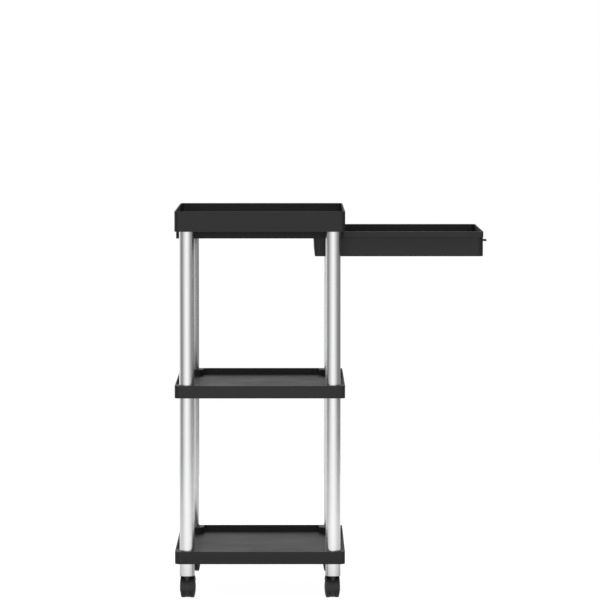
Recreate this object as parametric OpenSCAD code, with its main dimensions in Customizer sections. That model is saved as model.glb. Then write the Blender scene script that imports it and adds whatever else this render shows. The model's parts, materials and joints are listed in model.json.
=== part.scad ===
// Rolling utility trolley: a deep top tray, two shallow shelves, round posts between them,
// four twin-wheel casters and a drawer that hangs on rails under the top tray.
// It stands on the floor at Z = 0, with the drawer pulled out to its stop. The drawer opens
// towards +X, which is the front. Left is -Y and right is +Y, as seen from the front.
// The origin is under the middle of the whole box, drawer included. Sizes are millimetres.

/* [Trays] */
// Width of the trays from left to right
tray_w = 540; // [440:1:620]
// Depth of the trays from rear to front
tray_d = 396; // [340:1:460]
// Radius of the trays' upright corners
tray_corner_r = 12; // [6:1:20]
// Thickness of the trays' walls
tray_wall = 3; // [2:0.5:4]
// Thickness of the trays' floors
tray_floor = 3; // [2:0.5:4]
// Height of each shelf, from its lower edge to its rim
shelf_h = 29; // [28:1:45]
// Depth of the shelves' floors below their rims
shelf_recess = 15; // [10:1:17]
// Height of the top tray, from its lower edge to its rim
top_h = 47; // [44:1:80]
// Depth of the top tray's floor below its rim
top_recess = 22; // [15:1:30]
// Thickness of the ribs under the floors
rib_t = 2; // [1.2:0.2:3]
// Height of the ribs under the floors
rib_h = 8; // [4:1:9]
// Widest spacing of the ribs
rib_pitch = 66; // [50:1:100]
// Size of the raised corner of a shelf, from the outer faces inwards
corner_size = 57; // [52:1:70]
// Radius of the raised corner's inner edge
corner_inner_r = 16; // [8:1:18]

/* [Posts] */
// Outer diameter of the posts and of the legs
post_d = 35; // [28:1:38]
// Wall of the post tube
post_t = 1.2; // [1:0.1:2]
// Distance from a tray's outer faces to the middle of a post
post_inset = 28; // [26:0.5:32]
// Clear height from the middle shelf's rim to the top tray
upper_bay = 358; // [250:1:420]
// Clear height from the bottom shelf's rim to the middle shelf
lower_bay = 358; // [200:1:420]
// Play between a post and its socket or its spigot, on the radius
post_play = 0.2; // [0.1:0.05:0.4]
// Depth of the post sockets in the shelves
socket_depth = 12; // [8:1:12]
// Wall of the post sockets
socket_t = 3; // [2:0.5:4]
// Length of the spigots that stand inside the posts
spigot_len = 30; // [20:1:60]

/* [Legs and casters] */
// Length of the leg that shows under the bottom shelf
leg_h = 29.5; // [25:0.5:60]
// Diameter of the caster wheels
wheel_d = 49; // [38:0.5:60]
// Width of one caster wheel at its tread
wheel_w = 9; // [9:0.5:16]
// How far the wheel's outer face bulges at its middle
wheel_dome = 3; // [0.5:0.1:4]
// Chamfer at the edges of the tread
wheel_edge = 1.4; // [0.5:0.1:2.5]
// Thickness of the web between the twin wheels
web_t = 11; // [10:0.5:14]
// Gap between a wheel and the web
wheel_gap = 0.5; // [0.3:0.1:1]
// Thickness of the hood over the wheels
hood_t = 1.8; // [1.4:0.1:3]
// Gap between the wheels and the hood
hood_gap = 0.8; // [0.5:0.1:2]
// How far the hood reaches past the wheels' treads on each side
hood_side = 0.8; // [0:0.1:4]
// Where the hood ends in front, as an angle under the level of the axle
hood_front_angle = 13; // [0:1:20]
// Where the hood ends behind, as an angle over the top from the front
hood_rear_angle = 150; // [120:1:165]
// Distance from the swivel's axis to the axle
trail = 16; // [12:0.5:20]
// Turn of each caster at rest, towards the middle of the trolley
caster_turn = 5; // [0:1:30]
// Diameter of the steel stem that the caster swivels on
stem_d = 7; // [6:0.5:8]
// Diameter of the axle
axle_d = 6; // [4:0.5:7]
// Running play of the wheels and of the swivel, on the radius
running_play = 0.05; // [0.02:0.01:0.08]
// Play of the stem and the axle where they are held, on the radius
press_play = 0.02; // [0.01:0.01:0.03]
// Gap between the caster and its socket
swivel_gap = 0.4; // [0.3:0.1:1]

/* [Drawer] */
// How far the drawer slides
drawer_travel = 317; // [200:0.5:320]
// Height of the drawer's bin
bin_h = 58; // [40:0.1:90]
// Thickness of the bin's walls and floor
bin_wall = 2.5; // [2:0.25:3.5]
// Radius of the bin's rear upright corners
bin_corner_r = 8; // [5:1:14]
// Radius of the bin's front upright corners
bin_front_r = 14; // [8:1:20]
// How far the bin's rear wall leans in at its foot
bin_lean = 3; // [0:0.5:8]
// Height of the rim band, whose sides are the lips that the bin hangs by
lip_h = 13; // [9:0.5:16]
// How far the lips stand out from the bin
lip_w = 9.5; // [8:0.5:14]
// Radius of the rim band's front corners
lip_corner_r = 4; // [4:0.5:6]
// Gap between the bin's rim and the top tray
drawer_top_gap = 2; // [1:0.5:6]
// How far the closed drawer stands out past the top tray
front_out = 5.5; // [4:0.1:12]
// Length of the pull
pull_w = 50; // [30:1:160]
// How far the pull stands out
pull_reach = 17; // [10:1:30]
// Thickness of the pull
pull_t = 3.5; // [2.5:0.5:8]
// Radius of the pull's corners
pull_r = 6; // [2:0.5:9]
// Height of the plate at the pull's root
pull_plate_h = 22; // [16:1:30]
// Thickness of the plate at the pull's root
pull_plate_t = 6; // [5:0.5:8]

/* [Rails] */
// Thickness of the rails and of the rear panel
rail_t = 2.5; // [2:0.25:3.5]
// Gap between the rails and the posts
rail_post_gap = 6.5; // [3:0.5:12]
// Gap between the drawer's lips and the rails
rail_side_gap = 1.5; // [0.8:0.1:3]
// Gap between the drawer's lips and the ledges that carry them
ledge_gap = 0.3; // [0.2:0.05:0.6]
// Gap between the edge of a ledge and the bin
ledge_edge_gap = 1.5; // [0.8:0.1:3]
// Width of the flanges that are screwed to the top tray
flange_w = 14; // [12:0.5:18]
// Distance from the rails' front ends to the front face of the top tray
rail_setback = 3; // [2:0.5:10]
// Distance from the rear panel to the rear face of the top tray
panel_setback = 3; // [2:0.5:10]
// Gap between the drawer and its stops
stop_gap = 0.3; // [0.2:0.1:1]
// Distance from the middle of a rail to its inner ribs and screws
rib_near = 58; // [45:1:70]
// Distance from the middle of a rail to its outer ribs and screws
rib_far = 107; // [95:1:130]

/* [Screws] */
// Diameter of the screws' shanks
screw_d = 3; // [2.5:0.1:4]
// Diameter of the screws' heads
screw_head_d = 6.4; // [5:0.2:7]
// Height of the screws' heads
screw_head_h = 1.8; // [1.2:0.1:2.5]
// Width of the recess in the screws' heads
drive_w = 2.6; // [1.8:0.1:3]
// Wall around a screw in its boss
screw_boss_t = 2.2; // [1.5:0.1:3]

/* [Hidden] */
$fn = 48;

front = 1;
rear = -1;
left = -1;
right = 1;
black_plastic = "#2c2c2e";
dark_nylon = "#262628";
silver = "#c9cbce";
steel = "#b4b6b8";

// How far a cut runs past a face
cut = 1;

// Play of a screw in its hole, on the radius
screw_play = 0.05;
// Length of a screw in its boss
screw_bite = 6.5;
// Solid plastic left over the end of a screw hole
screw_roof = 1;

// Gap between a caster socket and the spigot above it
socket_top_gap = 3.5;
// Flange of a caster socket, under the leg's end
socket_flange_t = 1.5;
// How far the flange stays inside the leg's edge
socket_flange_inset = 0.5;
// Solid plastic over the end of the stem
socket_roof = 4;
// Chamfer at the stem's tip
stem_tip = 1;
// Disc under the socket that the hood turns on
pad_d = 16;
pad_t = 1.5;
// Height of the stem's lower end above the axle
stem_foot = -1;
// Solid nylon under the stem's lower end
column_floor = 4;
// Gap between the edge of the web and the edge of the tread
web_inset = 0.8;
// Solid nylon over the end of the axle in a wheel
wheel_cap = 2;
// Points along the wheel's domed face
dome_steps = 6;

// Ribs that show on the outside of the rails
rail_rib_w = 2;
rail_rib_out = 1.6;
// Margin between a rail rib and the rail's edges
rail_rib_margin = 2;
// Gap between the bin and its pull
pull_seat = 0.05;
// Stop that stands on each ledge and meets the wall at the lip's rear end
stop_l = 3;
stop_w = 3;
stop_h = 4;

hood_r = wheel_d / 2 + hood_gap + hood_t;
hood_top = wheel_d / 2 + hood_r;
leg_z = hood_top + swivel_gap + socket_flange_t;
bottom_z = leg_z + leg_h;
middle_z = bottom_z + shelf_h + lower_bay;
top_z = middle_z + shelf_h + upper_bay;
shelf_floor_z = shelf_h - shelf_recess;
top_floor_z = top_h - top_recess;
top_under_z = top_z + top_floor_z - tray_floor;
rib_low_z = top_under_z - rib_h;

post_x = tray_d / 2 - post_inset;
post_y = tray_w / 2 - post_inset;
post_r = post_d / 2;
post_bore_r = post_r - post_t;
socket_r = post_r + post_play;
spigot_r = post_bore_r - post_play;
cup_r = socket_r + socket_t;

rail_out_y = post_y - post_r - rail_post_gap;
rail_in_y = rail_out_y - rail_t;
lip_out_y = rail_in_y - rail_side_gap;
bin_out_y = lip_out_y - lip_w;
ledge_edge_y = bin_out_y + ledge_edge_gap;

panel_x = -tray_d / 2 + panel_setback + rail_t;
rail_end_x = tray_d / 2 - rail_setback;
bin_rear_x = panel_x + stop_gap + drawer_travel;
bin_front_x = tray_d / 2 + front_out + drawer_travel;
pull_back_x = bin_front_x + pull_seat;
pull_tip_x = bin_front_x + pull_reach;
rim_z = top_z - drawer_top_gap;
bin_z = rim_z - bin_h;
lip_z = rim_z - lip_h;
ledge_z = lip_z - ledge_gap;
rail_z = ledge_z - rail_t;
pull_z = rim_z - bin_h / 2;
lip_rear_x = bin_rear_x + bin_corner_r;
stop_x = lip_rear_x + bin_wall + stop_gap;
screw_line_y = rail_in_y - flange_w / 2;
panel_screw_x = panel_x + flange_w / 2;
panel_screw_gap = rib_far;
screw_boss_r = screw_d / 2 + screw_boss_t;
pull_screw_y = pull_w / 2 - 2 * screw_boss_r;
pull_screw_hole = pull_plate_t - screw_roof;
pull_screw_len = bin_wall + pull_seat + pull_screw_hole - screw_play;

wheel_r = wheel_d / 2;
wheel_in = web_t / 2 + wheel_gap;
axle_end = wheel_in + wheel_w - wheel_cap;
socket_len = leg_h - socket_top_gap;
stem_z = wheel_r + stem_foot;
stem_top_z = leg_z + socket_len - socket_roof;

// How far the far casters reach past the posts
caster_reach = (trail + wheel_r) * cos(caster_turn) + (wheel_in + wheel_w - wheel_edge) * sin(caster_turn);

// Moves the trolley from under the middle of its trays to under the middle of its whole box
box_shift_x = -(pull_tip_x - tray_d / 2) / 2;
box_shift_y = -(post_y + caster_reach - tray_w / 2) / 2;

// Stands its children in the box at a height of z
module placed(z) {
  translate([box_shift_x, box_shift_y, z])
    children();
}

module rounded_rect(size_x, size_y, r) {
  square([size_x - 2 * r, size_y], center = true);
  square([size_x, size_y - 2 * r], center = true);
  for (x = [-1, 1], y = [-1, 1])
    translate([x * (size_x / 2 - r), y * (size_y / 2 - r)])
      circle(r);
}

// A tube standing on z = 0
module tube(outer_r, inner_r, height) {
  difference() {
    cylinder(r = outer_r, h = height);
    translate([0, 0, -cut])
      cylinder(r = inner_r, h = height + 2 * cut);
  }
}

// Repeats its children over the four posts, turned so that they always face the middle
module at_posts() {
  for (x = [rear, front], y = [left, right])
    translate([x * post_x, y * post_y, 0])
      mirror([x > 0 ? 0 : 1, 0, 0])
        mirror([0, y > 0 ? 0 : 1, 0])
          children();
}

// Outer wall and floor of a tray, open above and below the floor
module tray_shell(height, floor_z) {
  inner_d = tray_d - 2 * tray_wall;
  inner_w = tray_w - 2 * tray_wall;
  inner_r = tray_corner_r - tray_wall;
  difference() {
    linear_extrude(height)
      rounded_rect(tray_d, tray_w, tray_corner_r);
    translate([0, 0, floor_z])
      linear_extrude(height - floor_z + cut)
        rounded_rect(inner_d, inner_w, inner_r);
    translate([0, 0, -cut])
      linear_extrude(floor_z - tray_floor + cut)
        rounded_rect(inner_d, inner_w, inner_r);
  }
}

// Crossed ribs under a floor whose underside is at under_z
module floor_ribs(under_z) {
  cells_x = ceil(tray_d / rib_pitch);
  cells_y = ceil(tray_w / rib_pitch);
  for (i = [1 : cells_x - 1])
    translate([(i / cells_x - 1 / 2) * tray_d - rib_t / 2, -tray_w / 2 + tray_wall / 2, under_z - rib_h])
      cube([rib_t, tray_w - tray_wall, rib_h + tray_floor / 2]);
  for (i = [1 : cells_y - 1])
    translate([-tray_d / 2 + tray_wall / 2, (i / cells_y - 1 / 2) * tray_w - rib_t / 2, under_z - rib_h])
      cube([tray_d - tray_wall, rib_t, rib_h + tray_floor / 2]);
}

// Plan of a shelf's raised corner, drawn at a post whose outer corner lies towards +X +Y
module corner_plan(inset, inner_r) {
  out = post_inset - inset;
  in = corner_size - post_inset - inset;
  difference() {
    translate([-in, -in])
      square([in + out, in + out]);
    translate([-in, -in])
      square([inner_r, inner_r]);
  }
  translate([inner_r - in, inner_r - in])
    circle(inner_r);
}

module corner_block() {
  translate([0, 0, shelf_floor_z - tray_floor])
    linear_extrude(shelf_recess + tray_floor)
      intersection() {
        corner_plan(0, corner_inner_r);
        translate([-post_x, -post_y])
          rounded_rect(tray_d, tray_w, tray_corner_r);
      }
}

module corner_hollow() {
  translate([0, 0, -cut])
    linear_extrude(shelf_h - tray_wall + cut)
      intersection() {
        corner_plan(tray_wall, corner_inner_r - tray_wall);
        translate([-post_x, -post_y])
          rounded_rect(tray_d - 2 * tray_wall, tray_w - 2 * tray_wall, tray_corner_r - tray_wall);
      }
}

// Ring that a post's end goes into, around its spigot
module socket_ring(depth) {
  tube(socket_r, spigot_r, depth + cut);
}

// A shelf standing on z = 0, with post sockets above and below and spigots low_len down
module shelf(low_len) {
  difference() {
    union() {
      difference() {
        union() {
          tray_shell(shelf_h, shelf_floor_z);
          at_posts()
            corner_block();
        }
        at_posts()
          corner_hollow();
      }
      floor_ribs(shelf_floor_z - tray_floor);
      at_posts()
        cylinder(r = cup_r, h = shelf_h);
    }
    at_posts() {
      translate([0, 0, shelf_h - socket_depth])
        socket_ring(socket_depth);
      translate([0, 0, -cut])
        socket_ring(socket_depth);
    }
  }
  at_posts() {
    translate([0, 0, shelf_h - socket_depth])
      cylinder(r = spigot_r, h = spigot_len);
    translate([0, 0, socket_depth - low_len])
      cylinder(r = spigot_r, h = low_len);
  }
}

// Repeats its children at the screws of both rails and of the rear panel
module at_rail_screws() {
  for (y = [left, right], x = [-rib_far, -rib_near, rib_near, rib_far])
    translate([x, y * screw_line_y, 0])
      children();
  for (y = [-panel_screw_gap, 0, panel_screw_gap])
    translate([panel_screw_x, y, 0])
      children();
}

module top_tray() {
  cup_h = top_floor_z - tray_floor;
  color(black_plastic)
    placed(top_z) {
      difference() {
        union() {
          tray_shell(top_h, top_floor_z);
          floor_ribs(cup_h);
          at_posts()
            cylinder(r = cup_r, h = cup_h + tray_floor / 2);
          translate([0, 0, cup_h - rib_h])
            at_rail_screws()
              cylinder(r = screw_boss_r, h = rib_h + tray_floor / 2);
        }
        translate([0, 0, -cut])
          at_posts()
            socket_ring(cup_h);
        translate([0, 0, cup_h - rib_h - cut])
          at_rail_screws()
            cylinder(r = screw_d / 2 + screw_play, h = rib_h - screw_roof + cut);
      }
      translate([0, 0, cup_h - spigot_len])
        at_posts()
          cylinder(r = spigot_r, h = spigot_len);
    }
}

module middle_shelf() {
  color(black_plastic)
    placed(middle_z)
      shelf(spigot_len);
}

// The lower spigots end level with the sockets' mouths, over the caster sockets
module bottom_shelf() {
  color(black_plastic)
    placed(bottom_z)
      shelf(socket_depth);
}

// A post tube at one corner, from low_z to high_z
module post(x, y, low_z, high_z) {
  color(silver)
    placed(low_z)
      translate([x * post_x, y * post_y, 0])
        tube(post_r, post_bore_r, high_z - low_z);
}

module upper_post(x, y) {
  post(x, y, middle_z + shelf_h - socket_depth, top_under_z);
}

module lower_post(x, y) {
  post(x, y, bottom_z + shelf_h - socket_depth, middle_z + socket_depth);
}

module leg(x, y) {
  post(x, y, leg_z, bottom_z + socket_depth);
}

// Stands a caster's piece at its corner, turned towards the middle of the trolley
module at_caster(x, y) {
  placed(0)
    translate([x * post_x, y * post_y, 0])
      rotate([0, 0, x * caster_turn])
        children();
}

module caster_socket(x, y) {
  color(dark_nylon)
    at_caster(x, y)
      difference() {
        union() {
          translate([0, 0, leg_z - socket_flange_t])
            cylinder(r = post_r - socket_flange_inset, h = socket_flange_t);
          translate([0, 0, leg_z])
            cylinder(r = spigot_r, h = socket_len);
        }
        translate([0, 0, leg_z - socket_flange_t - cut])
          cylinder(r = stem_d / 2 + press_play, h = stem_top_z - leg_z + socket_flange_t + cut);
      }
}

module caster_stem(x, y) {
  color(steel)
    at_caster(x, y) {
      translate([0, 0, stem_z])
        cylinder(r = stem_d / 2, h = stem_top_z - stem_tip - stem_z);
      translate([0, 0, stem_top_z - stem_tip])
        cylinder(r1 = stem_d / 2, r2 = stem_d / 2 - stem_tip, h = stem_tip);
    }
}

// Turns a profile drawn as (behind, up) from the axle into a slab across the caster
module across_caster(width) {
  translate([-width / 2, trail, wheel_r])
    rotate([90, 0, 90])
      linear_extrude(width)
        children();
}

// The part of the plan that the hood covers, from its front edge over the top to its rear edge
module hood_wedge() {
  steps = 6;
  reach = 2 * hood_r;
  polygon([
    [0, 0],
    for (i = [0 : steps])
      let (a = -hood_front_angle + i / steps * (hood_front_angle + hood_rear_angle))
        [-reach * cos(a), reach * sin(a)]
  ]);
}

module caster_hood(x, y) {
  column_z = stem_z - column_floor;
  color(dark_nylon)
    at_caster(x, y)
      difference() {
        union() {
          across_caster(2 * (wheel_in + wheel_w + hood_side))
            intersection() {
              difference() {
                circle(hood_r);
                circle(hood_r - hood_t);
              }
              hood_wedge();
            }
          across_caster(web_t) {
            circle(wheel_r - web_inset);
            intersection() {
              circle(hood_r - hood_t / 2);
              hood_wedge();
            }
          }
          translate([0, 0, column_z])
            cylinder(r = web_t / 2, h = hood_top - column_z);
          translate([0, 0, hood_top - pad_t])
            cylinder(r = pad_d / 2, h = pad_t);
        }
        translate([0, 0, stem_z - stem_tip])
          cylinder(r = stem_d / 2 + running_play, h = hood_top - stem_z + stem_tip + cut);
        translate([-web_t / 2 - cut, trail, wheel_r])
          rotate([0, 90, 0])
            cylinder(r = axle_d / 2 + press_play, h = web_t + 2 * cut);
      }
}

module caster_axle(x, y) {
  color(steel)
    at_caster(x, y)
      translate([-axle_end, trail, wheel_r])
        rotate([0, 90, 0])
          cylinder(r = axle_d / 2, h = 2 * axle_end);
}

// One twin wheel, on the side of the caster that side gives, with a blind bore for the axle
module caster_wheel(x, y, side) {
  face_r = wheel_r - wheel_edge;
  bore_r = axle_d / 2 + running_play;
  bore_end = axle_end - wheel_in + wheel_gap;
  color(dark_nylon)
    at_caster(x, y)
      translate([side * wheel_in, trail, wheel_r])
        rotate([0, side * 90, 0])
          rotate_extrude()
            polygon([
              [bore_r, 0],
              [face_r, 0],
              [wheel_r, wheel_edge],
              [wheel_r, wheel_w - wheel_edge],
              for (i = [0 : dome_steps])
                let (share = i / dome_steps)
                  [face_r * (1 - share), wheel_w + wheel_dome * (1 - pow(1 - share, 2))],
              [0, bore_end],
              [bore_r, bore_end]
            ]);
}

// The rail on the side towards +Y
module rail() {
  top = rib_low_z;
  length = rail_end_x - panel_x;
  difference() {
    union() {
      translate([panel_x, rail_in_y, rail_z])
        cube([length, rail_t, top - rail_z]);
      translate([panel_x, ledge_edge_y, rail_z])
        cube([length, rail_out_y - ledge_edge_y, rail_t]);
      translate([panel_x, rail_in_y - flange_w, top - rail_t])
        cube([length, flange_w + rail_t, rail_t]);
      for (x = [-rib_far, -rib_near, rib_near, rib_far])
        translate([x - rail_rib_w / 2, rail_out_y - rail_t / 2, rail_z + rail_rib_margin])
          cube([rail_rib_w, rail_rib_out + rail_t / 2, top - rail_z - 2 * rail_rib_margin]);
      translate([stop_x, ledge_edge_y + stop_gap, ledge_z - rail_t / 2])
        cube([stop_l, stop_w, stop_h + rail_t / 2]);
    }
    for (x = [-rib_far, -rib_near, rib_near, rib_far])
      translate([x, screw_line_y, top - rail_t - cut])
        cylinder(r = screw_d / 2 + screw_play, h = rail_t + 2 * cut);
  }
}

module drawer_rail_left() {
  color(black_plastic)
    placed(0)
      mirror([0, 1, 0])
        rail();
}

module drawer_rail_right() {
  color(black_plastic)
    placed(0)
      rail();
}

// Stands behind the drawer and closes the bay between the rails
module drawer_rear_panel() {
  color(black_plastic)
    placed(0)
      difference() {
        union() {
          translate([panel_x - rail_t, -rail_out_y, rail_z])
            cube([rail_t, 2 * rail_out_y, rib_low_z - rail_z]);
          translate([panel_x - rail_t, flange_w - rail_in_y, rib_low_z - rail_t])
            cube([flange_w + rail_t, 2 * (rail_in_y - flange_w), rail_t]);
        }
        for (y = [-panel_screw_gap, 0, panel_screw_gap])
          translate([panel_screw_x, y, rib_low_z - rail_t - cut])
            cylinder(r = screw_d / 2 + screw_play, h = rail_t + 2 * cut);
      }
}

// A screw with its head under z = 0 and its shank standing up from there
module screw(length) {
  difference() {
    union() {
      translate([0, 0, -screw_head_h])
        cylinder(r = screw_head_d / 2, h = screw_head_h);
      cylinder(r = screw_d / 2, h = length);
    }
    translate([0, 0, -screw_head_h / 4])
      cube([drive_w, drive_w / 4, 2 * screw_head_h], center = true);
    translate([0, 0, -screw_head_h / 4])
      cube([drive_w / 4, drive_w, 2 * screw_head_h], center = true);
  }
}

module rail_screws() {
  color(steel)
    placed(rib_low_z - rail_t)
      at_rail_screws()
        screw(rail_t + screw_bite);
}

// Repeats its children at the pull's screws, pointing forwards
module at_pull_screws() {
  for (y = [-1, 1])
    placed(pull_z)
      translate([bin_front_x - bin_wall, y * pull_screw_y, 0])
        rotate([0, 90, 0])
          children();
}

// Side view of the bin, drawn as (forwards, up), with its faces moved in by inset
module bin_profile(inset, top) {
  polygon([
    [bin_rear_x + inset, top],
    [bin_rear_x + inset + bin_lean * (top - bin_z - inset) / bin_h, bin_z + inset],
    [bin_front_x - inset, bin_z + inset],
    [bin_front_x - inset, top]
  ]);
}

// Plan of the bin's four walls, with its faces moved in by inset
module bin_plan(inset) {
  low_x = bin_rear_x + inset;
  high_x = bin_front_x - inset;
  half_y = bin_out_y - inset;
  low_r = bin_corner_r - inset;
  high_r = bin_front_r - inset;
  mid_x = (low_x + high_x) / 2;
  translate([low_x + low_r, -half_y])
    square([high_x - high_r - low_x - low_r, 2 * half_y]);
  translate([low_x, low_r - half_y])
    square([mid_x - low_x, 2 * (half_y - low_r)]);
  translate([mid_x, high_r - half_y])
    square([high_x - mid_x, 2 * (half_y - high_r)]);
  for (y = [-1, 1]) {
    translate([low_x + low_r, y * (half_y - low_r)])
      circle(low_r);
    translate([high_x - high_r, y * (half_y - high_r)])
      circle(high_r);
  }
}

module bin_solid(inset, top) {
  intersection() {
    translate([0, bin_out_y, 0])
      rotate([90, 0, 0])
        linear_extrude(2 * bin_out_y)
          bin_profile(inset, top);
    translate([0, 0, bin_z])
      linear_extrude(bin_h + 2 * cut)
        bin_plan(inset);
  }
}

// Half plan of the rim band, from the middle of the bin towards +Y, with its faces moved in by inset
module band_plan(inset) {
  r = lip_corner_r - inset;
  low_x = lip_rear_x + inset;
  high_x = bin_front_x - inset;
  high_y = lip_out_y - inset;
  translate([low_x, 0])
    square([high_x - r - low_x, high_y]);
  translate([low_x, 0])
    square([high_x - low_x, high_y - r]);
  translate([high_x - r, high_y - r])
    circle(r);
}

// The half of the rim band towards +Y. Its side hangs on the rail's ledge, and its rear end meets the stop.
module rim_band() {
  translate([0, 0, rim_z - bin_wall])
    linear_extrude(bin_wall)
      difference() {
        band_plan(0);
        bin_plan(bin_wall);
      }
  translate([0, 0, lip_z])
    linear_extrude(lip_h)
      difference() {
        band_plan(0);
        band_plan(bin_wall);
        bin_plan(bin_wall);
      }
}

module drawer_bin() {
  color(black_plastic)
    difference() {
      placed(0)
        union() {
          difference() {
            bin_solid(0, rim_z);
            bin_solid(bin_wall, rim_z + cut);
          }
          rim_band();
          mirror([0, 1, 0])
            rim_band();
        }
      at_pull_screws()
        translate([0, 0, -cut])
          cylinder(r = screw_d / 2 + screw_play, h = bin_wall + 2 * cut);
    }
}

module drawer_pull() {
  reach = pull_tip_x - pull_back_x;
  color(black_plastic)
    difference() {
      placed(pull_z)
        translate([pull_back_x, 0, 0])
          union() {
            translate([0, -pull_w / 2, -pull_plate_h / 2])
              cube([pull_plate_t, pull_w, pull_plate_h]);
            translate([0, 0, -pull_t / 2])
              linear_extrude(pull_t) {
                translate([0, -pull_w / 2])
                  square([reach - pull_r, pull_w]);
                translate([0, pull_r - pull_w / 2])
                  square([reach, pull_w - 2 * pull_r]);
                for (y = [-1, 1])
                  translate([reach - pull_r, y * (pull_w / 2 - pull_r)])
                    circle(pull_r);
              }
          }
      at_pull_screws()
        translate([0, 0, -cut])
          cylinder(r = screw_d / 2 + screw_play, h = bin_wall + pull_seat + pull_screw_hole + cut);
    }
}

module drawer_pull_screws() {
  color(steel)
    at_pull_screws()
      screw(pull_screw_len);
}

top_tray();
middle_shelf();
bottom_shelf();
upper_post(front, left);  // upper_post_front_left
upper_post(front, right);  // upper_post_front_right
upper_post(rear, left);  // upper_post_rear_left
upper_post(rear, right);  // upper_post_rear_right
lower_post(front, left);  // lower_post_front_left
lower_post(front, right);  // lower_post_front_right
lower_post(rear, left);  // lower_post_rear_left
lower_post(rear, right);  // lower_post_rear_right
leg(front, left);  // leg_front_left
leg(front, right);  // leg_front_right
leg(rear, left);  // leg_rear_left
leg(rear, right);  // leg_rear_right
caster_socket(front, left);  // caster_socket_front_left
caster_socket(front, right);  // caster_socket_front_right
caster_socket(rear, left);  // caster_socket_rear_left
caster_socket(rear, right);  // caster_socket_rear_right
caster_stem(front, left);  // caster_stem_front_left
caster_stem(front, right);  // caster_stem_front_right
caster_stem(rear, left);  // caster_stem_rear_left
caster_stem(rear, right);  // caster_stem_rear_right
caster_hood(front, left);  // caster_hood_front_left
caster_hood(front, right);  // caster_hood_front_right
caster_hood(rear, left);  // caster_hood_rear_left
caster_hood(rear, right);  // caster_hood_rear_right
caster_axle(front, left);  // caster_axle_front_left
caster_axle(front, right);  // caster_axle_front_right
caster_axle(rear, left);  // caster_axle_rear_left
caster_axle(rear, right);  // caster_axle_rear_right
caster_wheel(front, left, front);  // front_wheel_front_left
caster_wheel(front, right, front);  // front_wheel_front_right
caster_wheel(rear, left, front);  // front_wheel_rear_left
caster_wheel(rear, right, front);  // front_wheel_rear_right
caster_wheel(front, left, rear);  // rear_wheel_front_left
caster_wheel(front, right, rear);  // rear_wheel_front_right
caster_wheel(rear, left, rear);  // rear_wheel_rear_left
caster_wheel(rear, right, rear);  // rear_wheel_rear_right
drawer_rail_left();
drawer_rail_right();
drawer_rear_panel();
rail_screws();
drawer_bin();
drawer_pull();
drawer_pull_screws();
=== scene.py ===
# Rolling utility trolley: black moulded trays on satin silver posts, twin-wheel casters,
# and a drawer pulled out from under the top tray.
# Lengths below are in millimetres from the middle of the trays, on the floor.
import json
import math

import bmesh
import bpy
from mathutils import Matrix, Vector


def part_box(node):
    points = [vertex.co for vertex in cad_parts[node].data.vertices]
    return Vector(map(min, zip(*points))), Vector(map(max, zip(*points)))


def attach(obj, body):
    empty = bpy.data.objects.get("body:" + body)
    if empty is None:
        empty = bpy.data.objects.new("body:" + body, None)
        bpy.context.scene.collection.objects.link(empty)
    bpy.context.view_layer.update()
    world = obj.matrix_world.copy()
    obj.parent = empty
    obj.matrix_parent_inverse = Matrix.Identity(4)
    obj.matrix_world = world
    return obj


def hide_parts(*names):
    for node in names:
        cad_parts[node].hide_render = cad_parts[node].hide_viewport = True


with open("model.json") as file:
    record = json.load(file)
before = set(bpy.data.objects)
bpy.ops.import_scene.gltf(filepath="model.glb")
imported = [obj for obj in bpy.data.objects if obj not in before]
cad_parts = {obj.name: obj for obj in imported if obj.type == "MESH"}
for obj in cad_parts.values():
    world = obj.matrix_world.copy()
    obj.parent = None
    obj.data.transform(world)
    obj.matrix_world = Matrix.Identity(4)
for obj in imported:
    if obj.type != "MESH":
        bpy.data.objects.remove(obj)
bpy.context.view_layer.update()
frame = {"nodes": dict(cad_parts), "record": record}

MM = 0.001
# Ways along X and along Y
FRONT, REAR, LEFT, RIGHT = 1, -1, -1, 1

# Trays
TRAY_D, TRAY_W = 396, 540
TRAY_CORNER_R = 12
WALL, FLOOR = 3, 3
TOP_LOW, TOP_H, TOP_RECESS = 857, 47, 22
MIDDLE_LOW, BOTTOM_LOW, SHELF_H, SHELF_RECESS = 470, 83, 29, 15
CORNER_SIZE, CORNER_R = 57, 16
FILLET_R, LOW_EDGE_R = 3, 1.2
RIB_T, RIB_H, RIB_SPACES_X, RIB_SPACES_Y = 2, 8, 6, 9
CUP_R, CUP_BORE_R, CUP_H = 20.7, 17.7, 14
BOSS_R = 3.7
# Screws up into the top tray, through the two rails and through the rear panel
RAIL_SCREW_X, RAIL_SCREW_Y = (-107, -58, 58, 107), 208.5
PANEL_SCREW_X, PANEL_SCREW_Y = -185.5, (-107, 0, 107)

# Posts and casters
POST_X, POST_Y, POST_R, POST_T = 170, 242, 17.5, 1.2
POST_DEPTH = 12  # how far a post stands in a shelf
LEG_LOW = 53.5
TURN = 5  # degrees that the casters are turned at rest
TRAIL, WHEEL_R, WHEEL_W, WHEEL_IN = 16, 24.5, 9, 6
SHOULDER_R = 1.6
# Steps across a wheel's faces from the edge to the middle: how far in, and how far out
WHEEL_FACE = ((2.9, 0.73), (0.4, -0.8), (0.8, 0), (0.4, 1.05), (3.4, 0.72), (4, 0.53),
              (4, 0.38), (1, -0.4))
WHEEL_BACK = ((2.2, 0), (0.5, -1.2))

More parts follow.
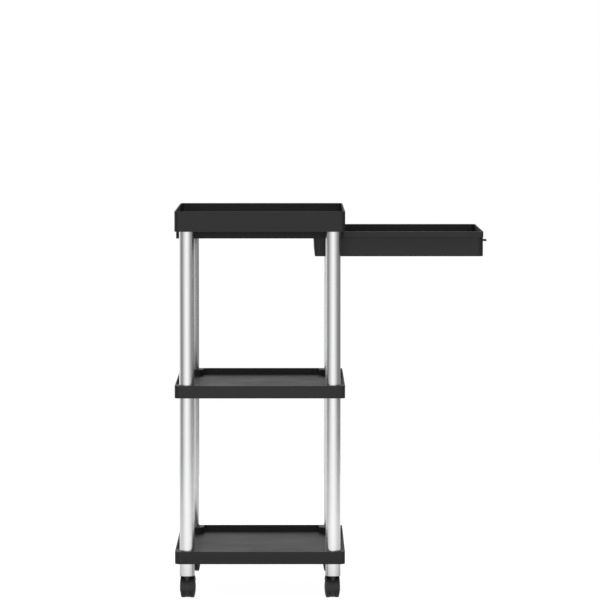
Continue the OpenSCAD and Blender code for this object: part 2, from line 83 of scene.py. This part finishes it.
# Drawer and rails
BIN_REAR, BIN_FRONT, BIN_Y, BIN_LOW, RIM_Z = 124.8, 520.5, 204.5, 797, 855
BIN_WALL, BIN_LEAN, BIN_REAR_R, BIN_FRONT_R = 2.5, 3, 8, 14
BAND_Y, BAND_H, BAND_REAR, BAND_CORNER_R = 214, 13, 132.8, 4
PULL_W, PULL_REACH, PULL_T, PULL_R = 50, 17, 3.5, 6
PLATE_H, PLATE_T, PLATE_R, PLATE_GAP = 22, 6, 3, 0.05

# Welded pieces lap by the first, crossing ribs differ in depth by the second, and cutters
# stand past what they cut by the third
LAP, RIB_STEP, PAST = 0.05, 0.1, 5
MERGE = 0.00001  # metres
FLAT = math.radians(0.5)

# Light and camera, in metres and degrees. The lobes are the ways that light comes from.
FRONT_LOBE, BACK_LOBE = (0.0, -0.975, -0.22), (-0.5, 0.86, 0.1)
FRONT_LEVEL, BACK_LEVEL, ROOM_LEVEL = 0.84, 0.9, 0.22
FLOOR_SEEN = 0.97
LENS, SENSOR = 239.804, 36
CAMERA_PLACE = (0.07225, -9.51193, 1.26236)
CAMERA_DOWN, CAMERA_ASIDE = 3.48803, -0.12975

CORNERS = {
    "front_left": (FRONT, LEFT), "front_right": (FRONT, RIGHT),
    "rear_left": (REAR, LEFT), "rear_right": (REAR, RIGHT),
}

tray_low, tray_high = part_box("top_tray")
MIDDLE = Vector(((tray_low.x + tray_high.x) / 2, (tray_low.y + tray_high.y) / 2, 0))


# Selecting and modelling

def deselect():
    if bpy.context.object and bpy.context.object.mode != 'OBJECT':
        bpy.ops.object.mode_set(mode='OBJECT')
    bpy.ops.object.select_all(action='DESELECT')


def take(piece):
    deselect()
    piece.select_set(True)
    bpy.context.view_layer.objects.active = piece


def edit(piece):
    take(piece)
    bpy.ops.object.mode_set(mode='EDIT')


def leave():
    bpy.ops.object.mode_set(mode='OBJECT')


def near(a, b, slack=0.05):
    return abs(a - b) < slack


def pick(piece, kind, wanted):
    """Selects the faces or edges whose place passes the test, which is given in millimetres."""
    bpy.ops.mesh.select_mode(type=kind)
    bpy.ops.mesh.select_all(action='DESELECT')
    mesh = bmesh.from_edit_mesh(piece.data)
    mesh.normal_update()
    if kind == 'FACE':
        for face in mesh.faces:
            if wanted(face.calc_center_median() / MM, face.normal):
                face.select_set(True)
    else:
        for edge in mesh.edges:
            a, b = (v.co / MM for v in edge.verts)
            if wanted(a, b):
                edge.select_set(True)
    mesh.select_flush_mode()
    bmesh.update_edit_mesh(piece.data)


def block(name, low, high):
    """A block between two corners."""
    deselect()
    size = [(b - a) * MM for a, b in zip(low, high)]
    middle = [(a + b) / 2 * MM for a, b in zip(low, high)]
    bpy.ops.mesh.primitive_cube_add(size=1, location=middle)
    piece = bpy.context.object
    piece.name = name
    piece.scale = size
    bpy.ops.object.transform_apply(location=True, rotation=True, scale=True)
    return piece


def drum(name, radius, low, high, x=0, y=0, sides=64):
    """An upright round block."""
    deselect()
    bpy.ops.mesh.primitive_cylinder_add(
        vertices=sides, radius=radius * MM, depth=(high - low) * MM,
        location=(x * MM, y * MM, (low + high) / 2 * MM))
    piece = bpy.context.object
    piece.name = name
    bpy.ops.object.transform_apply(location=True, rotation=True, scale=True)
    return piece


def extrude(z):
    bpy.ops.mesh.extrude_region_move(TRANSFORM_OT_translate={"value": (0, 0, z * MM)})


def inset(thickness, depth=0):
    bpy.ops.mesh.inset(thickness=thickness * MM, depth=depth * MM, use_even_offset=True)


def round_picked(width, segments):
    bpy.ops.mesh.bevel(offset=width * MM, segments=segments, affect='EDGES', clamp_overlap=False)


def cut_across(piece, wanted, axis, at):
    """Cuts the picked faces along an upright plane, so that they can be moved apart."""
    pick(piece, 'FACE', wanted)
    normal = (float(axis == 'X'), float(axis == 'Y'), 0.0)
    bpy.ops.mesh.bisect(plane_co=[n * at * MM for n in normal], plane_no=normal)


def join(pieces):
    """Joins pieces into the first one."""
    deselect()
    for piece in pieces:
        piece.select_set(True)
    bpy.context.view_layer.objects.active = pieces[0]
    bpy.ops.object.join()
    return pieces[0]


def apply_modifier(piece, kind, **settings):
    take(piece)
    bpy.ops.object.modifier_add(type=kind)
    modifier = piece.modifiers[-1]
    for key, value in settings.items():
        setattr(modifier, key, value)
    bpy.ops.object.modifier_apply(modifier=modifier.name)


def combine(piece, other, operation):
    """Applies an exact boolean with another solid piece and throws that piece away."""
    apply_modifier(piece, 'BOOLEAN', operation=operation, solver='EXACT', use_self=True,
                   object=other)
    bpy.data.objects.remove(other, do_unlink=True)


def merge_flats(piece):
    """Merges doubled points and dissolves the lines that lie in a flat face."""
    edit(piece)
    bpy.ops.mesh.select_all(action='SELECT')
    bpy.ops.mesh.remove_doubles(threshold=MERGE)
    bpy.ops.mesh.select_all(action='SELECT')
    bpy.ops.mesh.dissolve_limited(angle_limit=FLAT)
    leave()


def weld(piece, other):
    """Joins another solid piece to this one in one skin, with no faces left inside."""
    combine(piece, other, 'UNION')
    merge_flats(piece)


def ease_edges(piece, width, segments=3, angle=35):
    """Gives moulded edges their small radius and shades the faces between them flat."""
    apply_modifier(
        piece, 'BEVEL', width=width * MM, segments=segments, limit_method='ANGLE',
        angle_limit=math.radians(angle), use_clamp_overlap=True, miter_outer='MITER_ARC')
    take(piece)
    bpy.ops.object.shade_smooth_by_angle(angle=math.radians(angle + 5))
    apply_modifier(piece, 'WEIGHTED_NORMAL', keep_sharp=True, weight=80)


def copy_of(piece, name, place):
    """A copy with its own mesh, moved to its place."""
    made = piece.copy()
    made.data = piece.data.copy()
    made.name = name
    bpy.context.collection.objects.link(made)
    made.data.transform(place)
    return made


# Materials

def linear(code):
    """An sRGB hex colour as the linear values that the shader reads."""
    parts = [int(code[i:i + 2], 16) / 255 for i in (1, 3, 5)]
    return [c / 12.92 if c <= 0.04045 else ((c + 0.055) / 1.055) ** 2.4 for c in parts] + [1.0]


def add_node(tree, kind, inputs=None, **settings):
    """Adds a node with its settings, and gives each named input a value or a link."""
    made = tree.nodes.new(kind)
    for key, value in settings.items():
        setattr(made, key, value)
    for key, value in (inputs or {}).items():
        if isinstance(value, bpy.types.NodeSocket):
            tree.links.new(value, made.inputs[key])
        else:
            made.inputs[key].default_value = value
    return made


def new_material(name):
    material = bpy.data.materials.new(name)
    material.use_nodes = True
    tree = material.node_tree
    shader = tree.nodes["Principled BSDF"]
    coords = add_node(tree, "ShaderNodeTexCoord").outputs["Object"]
    return material, tree, shader, coords


def noise(tree, vector, scale, detail, roughness=0.5):
    """Noise about 0.5, with so many lumps to the metre."""
    return add_node(tree, "ShaderNodeTexNoise", {
        "Vector": vector, "Scale": scale, "Detail": detail,
        "Roughness": roughness}).outputs["Fac"]


def calculate(tree, operation, a, b):
    return add_node(tree, "ShaderNodeMath", {0: a, 1: b}, operation=operation).outputs["Value"]


def blend_colours(tree, factor, low, high, low_at=0.0, high_at=1.0):
    """A colour between two hex colours, as the factor runs from one place to the other."""
    ramp = add_node(tree, "ShaderNodeValToRGB", {"Fac": factor})
    first, last = ramp.color_ramp.elements
    first.color, first.position = linear(low), low_at
    last.color, last.position = linear(high), high_at
    return ramp.outputs["Color"]


def add_relief(tree, shader, height, strength, distance):
    """Fine relief on the surface, with its depth in metres."""
    bump = add_node(tree, "ShaderNodeBump", {
        "Height": height, "Strength": strength, "Distance": distance}).outputs["Normal"]
    tree.links.new(bump, shader.inputs["Normal"])


def spread(tree, value, low, high, from_low=0.0, from_high=1.0):
    """Maps a value's range to the range from low to high."""
    return add_node(tree, "ShaderNodeMapRange", {
        "Value": value, "From Min": from_low, "From Max": from_high,
        "To Min": low, "To Max": high}).outputs["Result"]


def moulded_polypropylene(name, dark, light, ior):
    """Injection-moulded polypropylene from a spark-eroded mould: near black, with a fine matt
    grain, slightly uneven sheen where the plastic flowed, and faint pale scuffs."""
    material, tree, shader, coords = new_material(name)
    flow = noise(tree, coords, 9.0, 3.0, 0.6)
    # The real grain is 0.3 mm; it is drawn at 1.1 mm so that it shows
    grain = noise(tree, coords, 900.0, 2.0, 0.7)
    # Scuffs from things set down and slid along, a few centimetres long
    streaks = add_node(tree, "ShaderNodeMapping", {
        "Vector": coords, "Rotation": (0.3, 0.2, 0.7),
        "Scale": (14.0, 190.0, 120.0)}).outputs["Vector"]
    scuff = spread(tree, noise(tree, streaks, 1.0, 4.0, 0.65), 0.0, 0.22, 0.62, 0.8)
    base = blend_colours(tree, flow, dark, light, 0.35, 0.65)
    colour = add_node(tree, "ShaderNodeMixRGB", {
        "Fac": scuff, "Color1": base, "Color2": linear("#4a4a4c")}).outputs["Color"]
    tree.links.new(colour, shader.inputs["Base Color"])
    rough = calculate(tree, 'ADD', spread(tree, flow, 0.4, 0.48, 0.3, 0.7),
                      spread(tree, grain, -0.05, 0.05))
    tree.links.new(rough, shader.inputs["Roughness"])
    add_relief(tree, shader, grain, 0.22, 0.0003)
    shader.inputs["IOR"].default_value = ior
    return material


def satin_tube():
    """Drawn aluminium tube, satin anodised: pale silver with fine lines along its length and a
    soft broad highlight."""
    material, tree, shader, coords = new_material("satin_anodised_aluminium_tube")
    # Draw lines are 0.2 mm apart on the real tube; they are drawn at about 0.8 mm
    along = add_node(tree, "ShaderNodeMapping", {
        "Vector": coords, "Scale": (1200.0, 1200.0, 7.0)}).outputs["Vector"]
    lines = noise(tree, along, 1.0, 3.0, 0.6)
    cloud = noise(tree, coords, 16.0, 2.0)
    colour = blend_colours(tree, lines, "#eeefef", "#f8f8f8", 0.3, 0.7)
    tree.links.new(colour, shader.inputs["Base Color"])
    rough = calculate(tree, 'ADD', spread(tree, cloud, 0.19, 0.24, 0.3, 0.7),
                      spread(tree, lines, -0.03, 0.03))
    tree.links.new(rough, shader.inputs["Roughness"])
    add_relief(tree, shader, lines, 0.12, 0.0001)
    shader.inputs["Metallic"].default_value = 1.0
    return material


def caster_nylon(name, ior):
    """Glass-filled nylon, moulded: almost black, with a fine uneven skin and dusty grey patches
    low down where it rolls."""
    material, tree, shader, coords = new_material(name)
    skin = noise(tree, coords, 700.0, 3.0, 0.6)
    patches = noise(tree, coords, 60.0, 4.0, 0.7)
    height = add_node(tree, "ShaderNodeSeparateXYZ", {"Vector": coords}).outputs["Z"]
    low_down = spread(tree, height, 0.35, 0.0, 0.0, 0.02)
    dust = calculate(tree, 'MULTIPLY', patches, low_down)
    colour = add_node(tree, "ShaderNodeMixRGB", {
        "Fac": dust, "Color1": linear("#303032"), "Color2": linear("#504f4d")}).outputs["Color"]
    tree.links.new(colour, shader.inputs["Base Color"])
    tree.links.new(spread(tree, patches, 0.34, 0.5, 0.3, 0.7), shader.inputs["Roughness"])
    add_relief(tree, shader, skin, 0.15, 0.0002)
    shader.inputs["IOR"].default_value = ior
    return material


def zinc_plated_steel():
    """Zinc-plated steel for screws, stems and axles: bluish silver with a faint spangle."""
    material, tree, shader, coords = new_material("zinc_plated_steel")
    cloud = noise(tree, coords, 420.0, 3.0, 0.6)
    tree.links.new(blend_colours(tree, cloud, "#a9adb3", "#c9ccd0"), shader.inputs["Base Color"])
    tree.links.new(spread(tree, cloud, 0.24, 0.38, 0.3, 0.7), shader.inputs["Roughness"])
    add_relief(tree, shader, cloud, 0.08, 0.0001)
    shader.inputs["Metallic"].default_value = 1.0
    return material


PLASTIC = moulded_polypropylene("moulded_black_polypropylene", "#19191b", "#1e1e20", 1.45)
# The rails take the trays' plastic with a darker base colour, which is painted shade for the
# shade under the top tray, and a lower IOR for less sheen; the wheels' treads are duller than
# their hoods
RAIL_PLASTIC_PAINTED_DARK = moulded_polypropylene("black_polypropylene_painted_shade", "#131315", "#17171a", 1.35)
TUBE = satin_tube()
NYLON = caster_nylon("moulded_glass_filled_nylon", 1.5)
TREAD = caster_nylon("worn_nylon_tread", 1.38)
STEEL = zinc_plated_steel()
FINISH = {"black_plastic": PLASTIC, "silver_post": TUBE, "caster_nylon": NYLON, "steel": STEEL}


def settle(piece, name, body, slot, *nodes, placed=False, finish=None):
    """Moves a finished piece into the row frame and ties it to its body, finish and nodes."""
    if not placed:
        piece.data.transform(Matrix.Translation(MIDDLE))
    piece.name = name
    piece.data.name = name
    piece.data.materials.clear()
    piece.data.materials.append(finish or FINISH[slot])
    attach(piece, body)
    if nodes:
        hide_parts(*nodes)


# Trays

def upright(a, b):
    return near(a.x, b.x) and near(a.y, b.y)


def tray_block(name, low, height, recess):
    """The outer block of a tray with its rounded corners, hollowed from below. It is left in
    edit mode."""
    half_d, half_w = TRAY_D / 2, TRAY_W / 2
    top = low + height
    tray = block(name, (-half_d, -half_w, low), (half_d, half_w, top))
    edit(tray)
    pick(tray, 'EDGE', upright)
    round_picked(TRAY_CORNER_R, 8)
    pick(tray, 'FACE', lambda c, n: n.z < -0.9)
    inset(WALL)
    extrude(z=height - recess - FLOOR)
    return tray


def ribs_and_cups(low, under, cup_top):
    """Crossed ribs under a floor, and the round cups that the posts stand in."""
    parts = []
    for i in range(1, RIB_SPACES_X):
        x = (i / RIB_SPACES_X - 0.5) * TRAY_D
        parts.append(block("rib", (x - RIB_T / 2, WALL / 2 - TRAY_W / 2, under - RIB_H),
                           (x + RIB_T / 2, TRAY_W / 2 - WALL / 2, under + FLOOR / 2)))
    for i in range(1, RIB_SPACES_Y):
        y = (i / RIB_SPACES_Y - 0.5) * TRAY_W
        # These are a hair shallower, so that no two faces lie in one plane where ribs cross
        low_y = under - RIB_H + RIB_STEP
        parts.append(block("rib", (WALL / 2 - TRAY_D / 2, y - RIB_T / 2, low_y),
                           (TRAY_D / 2 - WALL / 2, y + RIB_T / 2, under + FLOOR / 2)))
    for x, y in CORNERS.values():
        cup = drum("cup", CUP_R, low, cup_top, x * POST_X, y * POST_Y)
        edit(cup)
        pick(cup, 'FACE', lambda c, n: n.z < -0.9)
        inset(CUP_R - CUP_BORE_R)
        extrude(z=cup_top - low - FLOOR / 2)
        leave()
        parts.append(cup)
    return parts


def shape_top_tray():
    low, top = TOP_LOW, TOP_LOW + TOP_H
    tray = tray_block("top_tray", low, TOP_H, TOP_RECESS)
    pick(tray, 'FACE', lambda c, n: n.z > 0.9 and near(c.z, top))
    inset(WALL)
    extrude(z=-TOP_RECESS)
    # The floor meets the walls in a moulded fillet
    pick(tray, 'EDGE', lambda a, b: near(a.z, top - TOP_RECESS) and near(b.z, top - TOP_RECESS)
         and max(abs(a.x), abs(b.x)) > 1)
    round_picked(FILLET_R, 4)
    leave()
    under = top - TOP_RECESS - FLOOR
    parts = [tray] + ribs_and_cups(low, under, under + FLOOR / 2)
    for x, y in screw_places():
        parts.append(drum("boss", BOSS_R, under - RIB_H, under + FLOOR / 2, x, y, sides=24))
    tray = join(parts)
    ease_edges(tray, 0.5)
    settle(tray, "tray_top", "frame", "black_plastic", "top_tray")


def screw_places():
    """Where the rails and the rear panel are screwed to the top tray."""
    places = [(x, side * RAIL_SCREW_Y) for x in RAIL_SCREW_X for side in (LEFT, RIGHT)]
    return places + [(PANEL_SCREW_X, y) for y in PANEL_SCREW_Y]


def shape_shelves():
    """The middle shelf, and the bottom shelf as a copy of it."""
    low, top = MIDDLE_LOW, MIDDLE_LOW + SHELF_H
    half_d, half_w = TRAY_D / 2, TRAY_W / 2
    under = top - SHELF_RECESS - FLOOR
    shelf = tray_block("shelf", low, SHELF_H, SHELF_RECESS)

    # The top face is cut along the walls and the raised corners, and what lies between sinks
    in_top = lambda c, n: n.z > 0.9 and near(c.z, top)
    edge_x, edge_y = half_d - CORNER_SIZE, half_w - CORNER_SIZE
    for axis, at in (('X', edge_x), ('X', half_d - WALL), ('Y', edge_y), ('Y', half_w - WALL)):
        cut_across(shelf, in_top, axis, at)
        cut_across(shelf, in_top, axis, -at)
    pick(shelf, 'FACE', lambda c, n: in_top(c, n) and abs(c.x) < half_d - WALL
         and abs(c.y) < half_w - WALL and not (abs(c.x) > edge_x and abs(c.y) > edge_y))
    extrude(z=-SHELF_RECESS)

    # The same is done from below under each raised corner
    in_under = lambda c, n: n.z < -0.9 and near(c.z, under)
    for axis, at in (('X', edge_x + WALL), ('Y', edge_y + WALL)):
        cut_across(shelf, in_under, axis, at)
        cut_across(shelf, in_under, axis, -at)
    pick(shelf, 'FACE', lambda c, n: in_under(c, n) and abs(c.x) > edge_x + WALL
         and abs(c.y) > edge_y + WALL)
    extrude(z=top - WALL - under)

    # Cuts that lie in a flat face are dissolved before the corners are rounded
    bpy.ops.mesh.select_all(action='SELECT')
    bpy.ops.mesh.dissolve_limited(angle_limit=math.radians(1))
    pick(shelf, 'EDGE', lambda a, b: upright(a, b) and near(abs(a.x), edge_x)
         and near(abs(a.y), edge_y))
    round_picked(CORNER_R, 8)
    pick(shelf, 'EDGE', lambda a, b: upright(a, b) and near(abs(a.x), edge_x + WALL)
         and near(abs(a.y), edge_y + WALL))
    round_picked(CORNER_R - WALL, 8)
    # The lower outer edge is a little rounder than the rest
    pick(shelf, 'EDGE', lambda a, b: near(a.z, low) and near(b.z, low)
         and max(abs(a.x) / half_d, abs(a.y) / half_w) > 0.96 and on_outside(a) and on_outside(b))
    round_picked(LOW_EDGE_R, 3)
    leave()

    # Round holes for the posts, down to the partition in each raised corner
    holes = [drum("hole", CUP_BORE_R, top - POST_DEPTH, top + PAST, x * POST_X, y * POST_Y)
             for x, y in CORNERS.values()]
    combine(shelf, join(holes), 'DIFFERENCE')
    shelf = join([shelf] + ribs_and_cups(low, under, low + CUP_H))
    ease_edges(shelf, 0.5)
    drop = Matrix.Translation((0, 0, (BOTTOM_LOW - MIDDLE_LOW) * MM))
    lower = copy_of(shelf, "shelf_bottom", drop)
    settle(shelf, "shelf_middle", "frame", "black_plastic", "middle_shelf")
    settle(lower, "shelf_bottom", "frame", "black_plastic", "bottom_shelf")


def on_outside(point):
    """Whether a point lies on the outer outline of a tray."""
    x = max(abs(point.x) - (TRAY_D / 2 - TRAY_CORNER_R), 0)
    y = max(abs(point.y) - (TRAY_W / 2 - TRAY_CORNER_R), 0)
    if x > 0 and y > 0:
        return near(math.hypot(x, y), TRAY_CORNER_R, 0.2)
    return near(max(x, y), TRAY_CORNER_R, 0.2)


# Posts, legs and casters

def shape_post(name, x, y, low, high, node):
    """A thin tube, open at its ends, with its cut edges just broken."""
    deselect()
    bpy.ops.mesh.primitive_circle_add(
        vertices=96, radius=POST_R * MM, location=(x * POST_X * MM, y * POST_Y * MM, low * MM))
    tube = bpy.context.object
    bpy.ops.object.transform_apply(location=True, rotation=True, scale=True)
    edit(tube)
    bpy.ops.mesh.select_mode(type='EDGE')
    bpy.ops.mesh.select_all(action='SELECT')
    extrude(z=high - low)
    bpy.ops.mesh.select_all(action='SELECT')
    bpy.ops.mesh.normals_make_consistent(inside=False)
    leave()
    apply_modifier(tube, 'SOLIDIFY', thickness=POST_T * MM, offset=-1)
    ease_edges(tube, 0.25, 2)
    settle(tube, name, "frame", "silver_post", node)


def shape_wheel():
    """One wheel of a twin pair at the origin, its hub facing +X: a flat tread with rounded
    shoulders, a domed outer face with a groove round it and a dimple in the middle."""
    deselect()
    bpy.ops.mesh.primitive_cylinder_add(
        vertices=72, radius=WHEEL_R * MM, depth=WHEEL_W * MM,
        location=((WHEEL_IN + WHEEL_W / 2) * MM, 0, 0), rotation=(0, math.radians(90), 0))
    wheel = bpy.context.object
    bpy.ops.object.transform_apply(location=True, rotation=True, scale=True)
    edit(wheel)
    outer = WHEEL_IN + WHEEL_W
    pick(wheel, 'EDGE', lambda a, b: near(a.x, b.x))
    round_picked(SHOULDER_R, 3)
    pick(wheel, 'FACE', lambda c, n: near(c.x, outer) and n.x > 0.9)
    for thickness, depth in WHEEL_FACE:
        inset(thickness, depth)
    pick(wheel, 'FACE', lambda c, n: near(c.x, WHEEL_IN) and n.x < -0.9)
    for thickness, depth in WHEEL_BACK:
        inset(thickness, depth)
    leave()
    ease_edges(wheel, 0.2, 2, 30)
    return wheel


def eased_copy(node, name, body, slot, width, finish=None):
    """A merged copy of a CAD node with its edges rounded."""
    source = frame["nodes"][node]
    made = source.copy()
    made.data = source.data.copy()
    made.parent = None
    made.matrix_world = Matrix.Identity(4)
    bpy.context.collection.objects.link(made)
    made.hide_render = False
    merge_flats(made)
    ease_edges(made, width, 2)
    settle(made, name, body, slot, node, placed=True, finish=finish)


def shape_casters():
    wheel = shape_wheel()
    for name, (x, y) in CORNERS.items():
        corner = Matrix.Translation((x * POST_X * MM, y * POST_Y * MM, 0)) @ Matrix.Rotation(
            math.radians(x * TURN), 4, 'Z')
        hub = corner @ Matrix.Translation((0, TRAIL * MM, WHEEL_R * MM))
        for side, half_turn in (("front", 0), ("rear", 180)):
            made = copy_of(wheel, "wheel", hub @ Matrix.Rotation(math.radians(half_turn), 4, 'Z'))
            settle(made, f"wheel_{side}_{name}", f"{side}_wheel_of_{name}", "caster_nylon",
                   f"{side}_wheel_{name}", finish=TREAD)
        eased_copy(f"caster_hood_{name}", f"hood_{name}", f"caster_{name}", "caster_nylon", 0.4)
        eased_copy(f"caster_socket_{name}", f"leg_end_{name}", "frame", "caster_nylon", 0.3)
    bpy.data.objects.remove(wheel, do_unlink=True)


# Drawer

def tub(name, inset_by, high):
    """The outside of the drawer's tub, or with an inset the space inside it. It is left in
    edit mode."""
    low_x, high_x, half_y = BIN_REAR + inset_by, BIN_FRONT - inset_by, BIN_Y - inset_by
    piece = block(name, (low_x, -half_y, BIN_LOW + inset_by), (high_x, half_y, high))
    edit(piece)
    # The rear wall leans in towards its foot
    pick(piece, 'EDGE', lambda a, b: near(a.x, low_x) and near(b.x, low_x)
         and near(a.z, BIN_LOW + inset_by) and near(b.z, BIN_LOW + inset_by))
    bpy.ops.transform.translate(value=(BIN_LEAN * MM, 0, 0))
    pick(piece, 'EDGE', lambda a, b: abs(a.z - b.z) > 10 and near(a.x, high_x))
    round_picked(BIN_FRONT_R - inset_by, 10)
    pick(piece, 'EDGE', lambda a, b: abs(a.z - b.z) > 10 and a.x < low_x + 5)
    round_picked(BIN_REAR_R - inset_by, 8)
    return piece


def shape_bin():
    bin_ = tub("bin", 0, RIM_Z)
    pick(bin_, 'EDGE', lambda a, b: near(a.z, BIN_LOW) and near(b.z, BIN_LOW))
    round_picked(LOW_EDGE_R, 3)
    pick(bin_, 'FACE', lambda c, n: n.z > 0.9 and near(c.z, RIM_Z))
    inset(BIN_WALL)
    extrude(z=BIN_LOW + BIN_WALL - RIM_Z)
    inside_z = BIN_LOW + BIN_WALL
    pick(bin_, 'EDGE', lambda a, b: near(a.z, inside_z) and near(b.z, inside_z))
    round_picked(FILLET_R, 4)
    leave()

    # The rim band is hollow from below, so that its sides can hang on the rails
    band = block("band", (BAND_REAR, -BAND_Y, RIM_Z - BAND_H), (BIN_FRONT, BAND_Y, RIM_Z))
    edit(band)
    pick(band, 'EDGE', lambda a, b: upright(a, b) and near(a.x, BIN_FRONT))
    round_picked(BAND_CORNER_R, 6)
    pick(band, 'FACE', lambda c, n: n.z < -0.9)
    inset(BIN_WALL)
    extrude(z=BAND_H - BIN_WALL)
    leave()
    space = tub("space", BIN_WALL - LAP, RIM_Z + PAST)
    leave()
    combine(band, space, 'DIFFERENCE')
    weld(bin_, band)
    ease_edges(bin_, 0.5)
    settle(bin_, "drawer_box", "drawer", "black_plastic", "drawer_bin")


def shape_pull():
    """A flat tongue with rounded corners on a plate that is screwed to the drawer's front."""
    back_x, middle = BIN_FRONT + PLATE_GAP, (BIN_LOW + RIM_Z) / 2
    tip_x = BIN_FRONT + PULL_REACH
    plate = block("plate", (back_x, -PULL_W / 2, middle - PLATE_H / 2),
                  (back_x + PLATE_T, PULL_W / 2, middle + PLATE_H / 2))
    edit(plate)
    pick(plate, 'EDGE', lambda a, b: near(a.y, b.y) and near(a.z, b.z))
    round_picked(PLATE_R, 5)
    leave()
    tongue = block("tongue", (back_x + PLATE_T / 2, -PULL_W / 2, middle - PULL_T / 2),
                   (tip_x, PULL_W / 2, middle + PULL_T / 2))
    edit(tongue)
    pick(tongue, 'EDGE', lambda a, b: upright(a, b) and near(a.x, tip_x))
    round_picked(PULL_R, 8)
    leave()
    weld(plate, tongue)
    ease_edges(plate, 0.7)
    settle(plate, "drawer_handle", "drawer", "black_plastic", "drawer_pull")


def shape_rails():
    for node in ("drawer_rail_left", "drawer_rail_right", "drawer_rear_panel"):
        # The rails' finish is the trays' plastic with its colour painted darker, as painted shade
        eased_copy(node, node.replace("drawer_", "under_tray_"), "frame", "black_plastic", 0.4,
                   RAIL_PLASTIC_PAINTED_DARK)


shape_top_tray()
shape_shelves()
for corner, (x, y) in CORNERS.items():
    shape_post(f"post_upper_{corner}", x, y, MIDDLE_LOW + SHELF_H - POST_DEPTH,
               TOP_LOW + TOP_H - TOP_RECESS - FLOOR, f"upper_post_{corner}")
    shape_post(f"post_lower_{corner}", x, y, BOTTOM_LOW + SHELF_H - POST_DEPTH,
               MIDDLE_LOW + POST_DEPTH, f"lower_post_{corner}")
    shape_post(f"leg_end_tube_{corner}", x, y, LEG_LOW, BOTTOM_LOW + POST_DEPTH,
               f"leg_{corner}")
shape_casters()
shape_bin()
shape_pull()
shape_rails()

# The CAD nodes that stay keep their shape and get their finish
for entry in frame["record"]["subparts"]:
    kept = frame["nodes"][entry["node"]]
    kept.data.materials.clear()
    kept.data.materials.append(FINISH[entry["material_slot"]])


# Floor, light and camera

def lobe(tree, way, towards, power, low, high):
    """Light that fades from high to low with the angle from a direction."""
    facing = add_node(tree, "ShaderNodeVectorMath", {0: way, 1: towards},
                      operation='DOT_PRODUCT').outputs["Value"]
    fade = calculate(tree, 'POWER', spread(tree, facing, 0.0, 1.0), power)
    return spread(tree, fade, low, high)


def studio():
    deselect()
    bpy.ops.mesh.primitive_plane_add(size=5, location=(0, 0, 0))
    floor = bpy.context.object
    floor.name = "studio_floor"
    # A white floor that carries only a trace of shadow. It throws less light up within 1.1 m of
    # the middle, least within 0.3 m, and the most from the front.
    material, tree, shader, coords = new_material("matt_white_floor")
    cloud = noise(tree, coords, 1.5, 2.0)
    tree.links.new(blend_colours(tree, cloud, "#646464", "#6a6a6a"), shader.inputs["Base Color"])
    shader.inputs["Roughness"].default_value = 0.8
    shader.inputs["Emission Color"].default_value = linear("#ffffff")
    distance = add_node(tree, "ShaderNodeVectorMath", {0: coords},
                        operation='LENGTH').outputs["Value"]
    outwards = add_node(tree, "ShaderNodeVectorMath", {0: coords},
                        operation='NORMALIZE').outputs["Vector"]
    thrown = calculate(tree, 'MULTIPLY', spread(tree, distance, 0.4, 1.0, 0.3, 1.1),
                       lobe(tree, outwards, (0, -1, 0), 2.0, 0.58, 0.94))
    seen = add_node(tree, "ShaderNodeLightPath").outputs["Is Camera Ray"]
    glow = add_node(tree, "ShaderNodeMix", {
        "Factor": seen, "A": thrown, "B": FLOOR_SEEN}).outputs["Result"]
    tree.links.new(glow, shader.inputs["Emission Strength"])
    floor.data.materials.append(material)

    # The room is brightest behind the camera and low down, dim at the sides and brighter again at
    # the back on the left, which gives round metal its bright middle and dark edges. What the
    # camera sees of it is white.
    world = bpy.data.worlds.new("studio")
    bpy.context.scene.world = world
    world.use_nodes = True
    tree = world.node_tree
    backdrop = tree.nodes["Background"]
    backdrop.inputs["Color"].default_value = linear("#ffffff")
    way = add_node(tree, "ShaderNodeTexCoord").outputs["Generated"]
    lobes = calculate(tree, 'ADD', lobe(tree, way, FRONT_LOBE, 2.4, 0.0, FRONT_LEVEL),
                      lobe(tree, way, BACK_LOBE, 5.0, 0.0, BACK_LEVEL))
    level = calculate(tree, 'ADD', lobes, ROOM_LEVEL)
    room = add_node(tree, "ShaderNodeBackground", {"Color": linear("#ffffff"), "Strength": level})
    camera_ray = add_node(tree, "ShaderNodeLightPath").outputs["Is Camera Ray"]
    mix = add_node(tree, "ShaderNodeMixShader", {
        0: camera_ray, 1: room.outputs[0], 2: backdrop.outputs[0]})
    tree.links.new(mix.outputs[0], tree.nodes["World Output"].inputs["Surface"])

    sun = bpy.data.lights.new("ceiling_light", 'SUN')
    sun.energy, sun.angle = 1.6, math.radians(60)
    light = bpy.data.objects.new("ceiling_light", sun)
    bpy.context.collection.objects.link(light)


def camera():
    data = bpy.data.cameras.new("camera")
    data.lens, data.sensor_width, data.sensor_fit = LENS, SENSOR, 'HORIZONTAL'
    data.clip_end = 200
    made = bpy.data.objects.new("camera", data)
    bpy.context.collection.objects.link(made)
    made.location = MIDDLE + Vector(CAMERA_PLACE)
    made.rotation_euler = (math.radians(90 - CAMERA_DOWN), 0, math.radians(CAMERA_ASIDE))
    bpy.context.scene.camera = made


studio()
camera()
bpy.context.scene.view_settings.view_transform = 'Standard'
